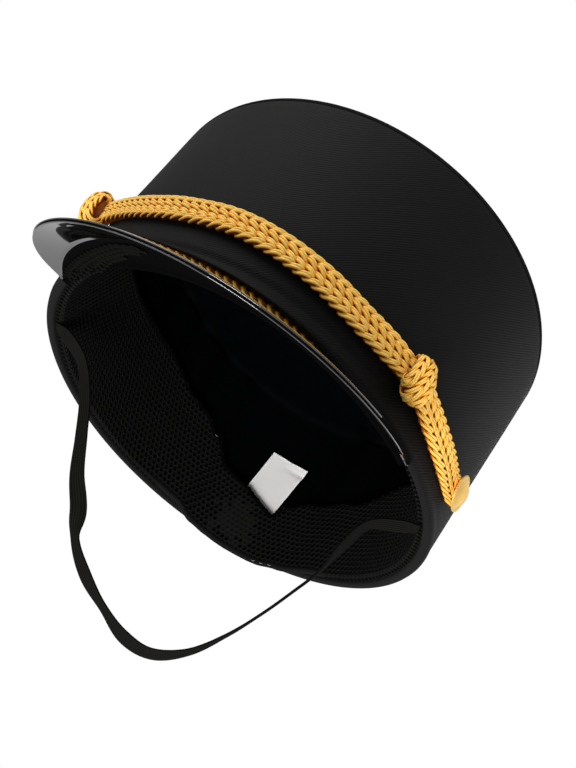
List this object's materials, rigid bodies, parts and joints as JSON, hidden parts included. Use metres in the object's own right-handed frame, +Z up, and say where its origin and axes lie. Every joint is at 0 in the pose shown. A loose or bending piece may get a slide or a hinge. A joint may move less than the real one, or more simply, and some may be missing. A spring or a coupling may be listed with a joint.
{
  "type": "train conductor cap",
  "caption": "Tall flat-topped cloth uniform cap with a glossy peak, a gold plaited braid between side buttons, a mesh sweatband and an elastic chin strap.",
  "frame": {"origin": "middle of the head opening, in the plane of the rim", "axes": "+Z up the crown as worn, -Y towards the peak, +X towards the wearer's left"},
  "size_m": [0.1946, 0.2612, 0.2004],
  "materials": {
    "crown_cloth": "black twill",
    "peak_patent": "glossy black patent sheet",
    "band_mesh": "black padded mesh",
    "lining_satin": "blue-black satin",
    "label_satin": "white satin tag",
    "braid_gold": "gold rayon braid",
    "button_gold": "gold plated, satin",
    "strap_elastic": "black ribbed elastic"
  },
  "bodies": {
    "root": {"crown_side": "crown_cloth", "crown_top": "crown_cloth", "peak": "peak_patent", "sweatband": "band_mesh", "lining": "lining_satin", "size_label": "label_satin", "braid": "braid_gold", "knot_left": "braid_gold", "knot_right": "braid_gold", "button_left": "button_gold", "button_right": "button_gold", "chin_strap": "strap_elastic"}
  },
  "joints": []
}
